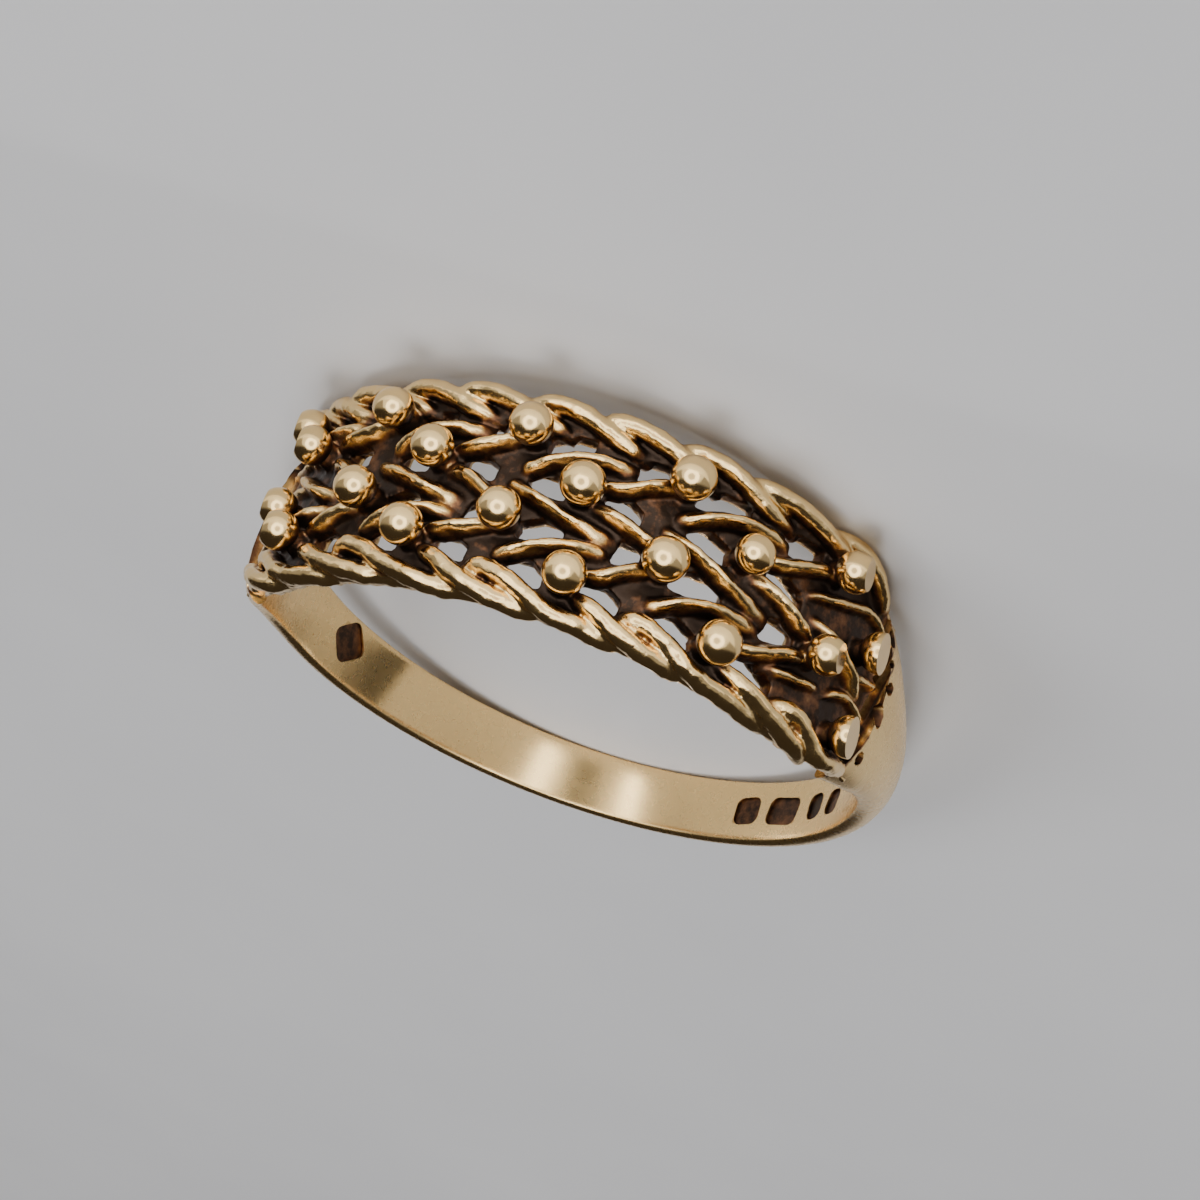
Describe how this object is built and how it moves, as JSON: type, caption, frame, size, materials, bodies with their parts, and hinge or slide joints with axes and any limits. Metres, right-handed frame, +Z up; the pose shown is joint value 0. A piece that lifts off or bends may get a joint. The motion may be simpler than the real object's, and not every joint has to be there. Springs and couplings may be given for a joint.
{
  "type": "keeper ring",
  "caption": "Finger ring with a plain domed shank that widens into a pierced, woven head set with small round granules between twisted borders",
  "frame": {"origin": "on the ground below the middle of the ring as it lies on its side", "axes": "+Z up, the finger hole's axis close to +Z, head towards -Y, back of the shank towards +Y"},
  "size_m": [0.02, 0.0208, 0.0069],
  "materials": {
    "gold": "polished on the high spots, dark tarnish in the recesses"
  },
  "bodies": {
    "root": {"keeper_ring": "gold"}
  },
  "joints": []
}
